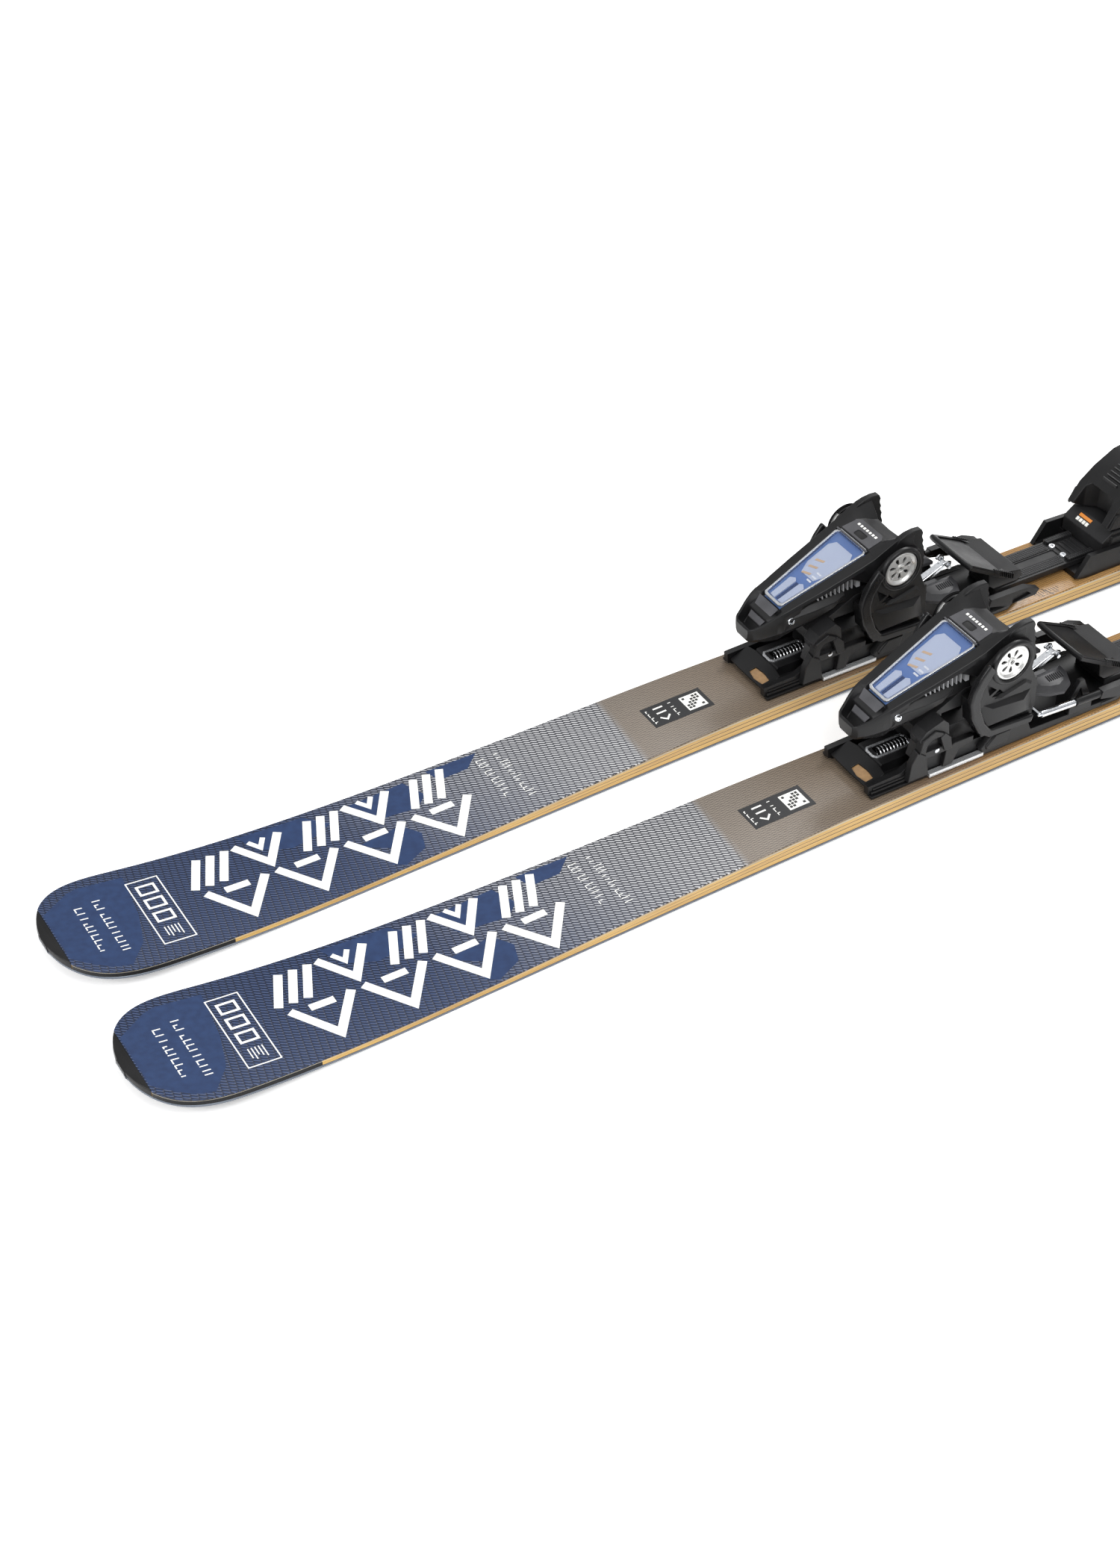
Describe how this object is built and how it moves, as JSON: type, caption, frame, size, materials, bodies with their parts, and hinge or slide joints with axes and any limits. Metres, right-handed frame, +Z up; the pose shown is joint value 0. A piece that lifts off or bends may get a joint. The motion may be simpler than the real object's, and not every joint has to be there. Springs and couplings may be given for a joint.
{
  "type": "alpine skis with bindings",
  "caption": "Pair of alpine skis with blunt rounded tips, each with a toe piece, sole rest, sprung pedal, centre band and step-in heel.",
  "frame": {"origin": "on the floor, at mid-length, midway between the two skis", "axes": "+X to the tips, +Y to the left ski, +Z up"},
  "size_m": [1.79, 0.284, 0.153],
  "materials": {
    "base_black": "sintered running base, black, waxed",
    "edge_steel": "ground steel edge",
    "sidewall": "golden phenol sidewall with thin dark laminate lines",
    "top_sheet": "satin printed top sheet: blue weave fading to taupe and golden tan",
    "black_plastic": "moulded black plastic, fine grain",
    "grey_plastic": "moulded dark grey plastic",
    "polished_steel": "polished steel",
    "spring_steel": "bright spring wire",
    "chrome": "satin chrome",
    "tinted_lens": "clear blue-tinted window"
  },
  "bodies": {
    "root": {"running_base_left": "base_black", "steel_edge_left": "edge_steel", "wood_core_left": "sidewall", "top_sheet_left": "top_sheet", "tip_guard_left": "black_plastic", "slide_plate_left": "polished_steel", "toe_plate_left": "black_plastic", "toe_spring_left": "spring_steel", "centre_band_left": "grey_plastic", "heel_track_left": "black_plastic"},
    "toe_carriage_left": {"toe_carriage_left": "grey_plastic", "toe_housing_left": "black_plastic", "indicator_lens_left": "tinted_lens"},
    "toe_screw_left": {"toe_screw_left": "polished_steel"},
    "toe_jaw_outer_left": {"toe_jaw_outer_left": "black_plastic", "pivot_cap_outer_left": "chrome"},
    "toe_jaw_inner_left": {"toe_jaw_inner_left": "black_plastic", "pivot_cap_inner_left": "chrome"},
    "sole_plate_left": {"sole_plate_left": "grey_plastic"},
    "brake_pedal_left": {"brake_pedal_left": "black_plastic"},
    "pedal_link_left": {"pedal_link_left": "chrome"},
    "brake_arms_left": {"brake_wire_left": "spring_steel", "brake_shoe_outer_left": "black_plastic", "brake_shoe_inner_left": "black_plastic"},
    "heel_body_left": {"heel_body_left": "grey_plastic"},
    "heel_jaw_left": {"heel_jaw_left": "black_plastic"},
    "heel_lever_left": {"heel_lever_left": "black_plastic"},
    "heel_screw_left": {"heel_screw_left": "polished_steel"},
    "length_lock_left": {"length_lock_left": "grey_plastic"},
    "ski_right": {"running_base_right": "base_black", "steel_edge_right": "edge_steel", "wood_core_right": "sidewall", "top_sheet_right": "top_sheet", "tip_guard_right": "black_plastic", "slide_plate_right": "polished_steel", "toe_plate_right": "black_plastic", "toe_spring_right": "spring_steel", "centre_band_right": "grey_plastic", "heel_track_right": "black_plastic"},
    "toe_carriage_right": {"toe_carriage_right": "grey_plastic", "toe_housing_right": "black_plastic", "indicator_lens_right": "tinted_lens"},
    "toe_screw_right": {"toe_screw_right": "polished_steel"},
    "toe_jaw_outer_right": {"toe_jaw_outer_right": "black_plastic", "pivot_cap_outer_right": "chrome"},
    "toe_jaw_inner_right": {"toe_jaw_inner_right": "black_plastic", "pivot_cap_inner_right": "chrome"},
    "sole_plate_right": {"sole_plate_right": "grey_plastic"},
    "brake_pedal_right": {"brake_pedal_right": "black_plastic"},
    "pedal_link_right": {"pedal_link_right": "chrome"},
    "brake_arms_right": {"brake_wire_right": "spring_steel", "brake_shoe_outer_right": "black_plastic", "brake_shoe_inner_right": "black_plastic"},
    "heel_body_right": {"heel_body_right": "grey_plastic"},
    "heel_jaw_right": {"heel_jaw_right": "black_plastic"},
    "heel_lever_right": {"heel_lever_right": "black_plastic"},
    "heel_screw_right": {"heel_screw_right": "polished_steel"},
    "length_lock_right": {"length_lock_right": "grey_plastic"}
  },
  "joints": [
    {"name": "toe_float_left", "type": "slide", "parent": "root", "child": "toe_carriage_left", "axis": [1, 0, 0], "range_m": [0, 0.003], "stiffness_N_per_m": 4000},
    {"name": "toe_setting_left", "type": "hinge", "parent": "toe_carriage_left", "child": "toe_screw_left", "pos_m": [0.196, 0.0795, 0.086], "axis": [1, 0, 0], "range_deg": [-360, 360]},
    {"name": "toe_release_outer_left", "type": "hinge", "parent": "toe_carriage_left", "child": "toe_jaw_outer_left", "pos_m": [0.114, 0.111, 0.09], "axis": [0, 0, -1], "range_deg": [0, 20], "stiffness_Nm_per_rad": 6},
    {"name": "toe_release_inner_left", "type": "hinge", "parent": "toe_carriage_left", "child": "toe_jaw_inner_left", "pos_m": [0.114, 0.048, 0.09], "axis": [0, 0, 1], "range_deg": [0, 20], "stiffness_Nm_per_rad": 6},
    {"name": "sole_glide_left", "type": "slide", "parent": "toe_carriage_left", "child": "sole_plate_left", "axis": [0, 1, 0], "range_m": [-0.005, 0.005], "stiffness_N_per_m": 400},
    {"name": "pedal_press_left", "type": "hinge", "parent": "root", "child": "brake_pedal_left", "pos_m": [-0.07, 0.0795, 0.05], "axis": [0, 1, 0], "range_deg": [0, 24], "stiffness_Nm_per_rad": 0.8, "springref_deg": -17.19},
    {"name": "pedal_link_turn_left", "type": "hinge", "parent": "root", "child": "pedal_link_left", "pos_m": [0.025, 0.0795, 0.056], "axis": [0, -1, 0], "range_deg": [0, 50]},
    {"name": "brake_swing_left", "type": "hinge", "parent": "root", "child": "brake_arms_left", "pos_m": [0.04, 0.0795, 0.052], "axis": [0, -1, 0], "range_deg": [0, 62]},
    {"name": "heel_length_left", "type": "slide", "parent": "root", "child": "heel_body_left", "axis": [-1, 0, 0], "range_m": [0, 0.05]},
    {"name": "heel_release_left", "type": "hinge", "parent": "heel_body_left", "child": "heel_jaw_left", "pos_m": [-0.263, 0.0795, 0.076], "axis": [0, -1, 0], "range_deg": [0, 26]},
    {"name": "heel_lever_turn_left", "type": "hinge", "parent": "heel_jaw_left", "child": "heel_lever_left", "pos_m": [-0.262, 0.0795, 0.106], "axis": [0, -1, 0], "range_deg": [0, 8]},
    {"name": "heel_setting_left", "type": "hinge", "parent": "heel_body_left", "child": "heel_screw_left", "pos_m": [-0.295, 0.0795, 0.077], "axis": [1, 0, 0], "range_deg": [-360, 360]},
    {"name": "length_lock_lift_left", "type": "hinge", "parent": "heel_body_left", "child": "length_lock_left", "pos_m": [-0.316, 0.0795, 0.046], "axis": [0, 1, 0], "range_deg": [0, 18], "stiffness_Nm_per_rad": 0.3},
    {"name": "toe_float_right", "type": "slide", "parent": "ski_right", "child": "toe_carriage_right", "axis": [1, 0, 0], "range_m": [0, 0.003], "stiffness_N_per_m": 4000},
    {"name": "toe_setting_right", "type": "hinge", "parent": "toe_carriage_right", "child": "toe_screw_right", "pos_m": [0.196, -0.0795, 0.086], "axis": [1, 0, 0], "range_deg": [-360, 360]},
    {"name": "toe_release_outer_right", "type": "hinge", "parent": "toe_carriage_right", "child": "toe_jaw_outer_right", "pos_m": [0.114, -0.048, 0.09], "axis": [0, 0, -1], "range_deg": [0, 20], "stiffness_Nm_per_rad": 6},
    {"name": "toe_release_inner_right", "type": "hinge", "parent": "toe_carriage_right", "child": "toe_jaw_inner_right", "pos_m": [0.114, -0.111, 0.09], "axis": [0, 0, 1], "range_deg": [0, 20], "stiffness_Nm_per_rad": 6},
    {"name": "sole_glide_right", "type": "slide", "parent": "toe_carriage_right", "child": "sole_plate_right", "axis": [0, 1, 0], "range_m": [-0.005, 0.005], "stiffness_N_per_m": 400},
    {"name": "pedal_press_right", "type": "hinge", "parent": "ski_right", "child": "brake_pedal_right", "pos_m": [-0.07, -0.0795, 0.05], "axis": [0, 1, 0], "range_deg": [0, 24], "stiffness_Nm_per_rad": 0.8, "springref_deg": -17.19},
    {"name": "pedal_link_turn_right", "type": "hinge", "parent": "ski_right", "child": "pedal_link_right", "pos_m": [0.025, -0.0795, 0.056], "axis": [0, -1, 0], "range_deg": [0, 50]},
    {"name": "brake_swing_right", "type": "hinge", "parent": "ski_right", "child": "brake_arms_right", "pos_m": [0.04, -0.0795, 0.052], "axis": [0, -1, 0], "range_deg": [0, 62]},
    {"name": "heel_length_right", "type": "slide", "parent": "ski_right", "child": "heel_body_right", "axis": [-1, 0, 0], "range_m": [0, 0.05]},
    {"name": "heel_release_right", "type": "hinge", "parent": "heel_body_right", "child": "heel_jaw_right", "pos_m": [-0.263, -0.0795, 0.076], "axis": [0, -1, 0], "range_deg": [0, 26]},
    {"name": "heel_lever_turn_right", "type": "hinge", "parent": "heel_jaw_right", "child": "heel_lever_right", "pos_m": [-0.262, -0.0795, 0.106], "axis": [0, -1, 0], "range_deg": [0, 8]},
    {"name": "heel_setting_right", "type": "hinge", "parent": "heel_body_right", "child": "heel_screw_right", "pos_m": [-0.295, -0.0795, 0.077], "axis": [1, 0, 0], "range_deg": [-360, 360]},
    {"name": "length_lock_lift_right", "type": "hinge", "parent": "heel_body_right", "child": "length_lock_right", "pos_m": [-0.316, -0.0795, 0.046], "axis": [0, 1, 0], "range_deg": [0, 18], "stiffness_Nm_per_rad": 0.3},
    {"name": "ski_right_shift", "type": "slide", "parent": "root", "child": "ski_right", "axis": [0, -1, 0], "range_m": [0, 0.2]}
  ],
  "couplings": [
    {"joint": "pedal_link_turn_left", "follows": "pedal_press_left", "ratio": 2.03},
    {"joint": "heel_lever_turn_left", "follows": "heel_release_left", "ratio": 0.3},
    {"joint": "pedal_link_turn_right", "follows": "pedal_press_right", "ratio": 2.03},
    {"joint": "heel_lever_turn_right", "follows": "heel_release_right", "ratio": 0.3}
  ]
}
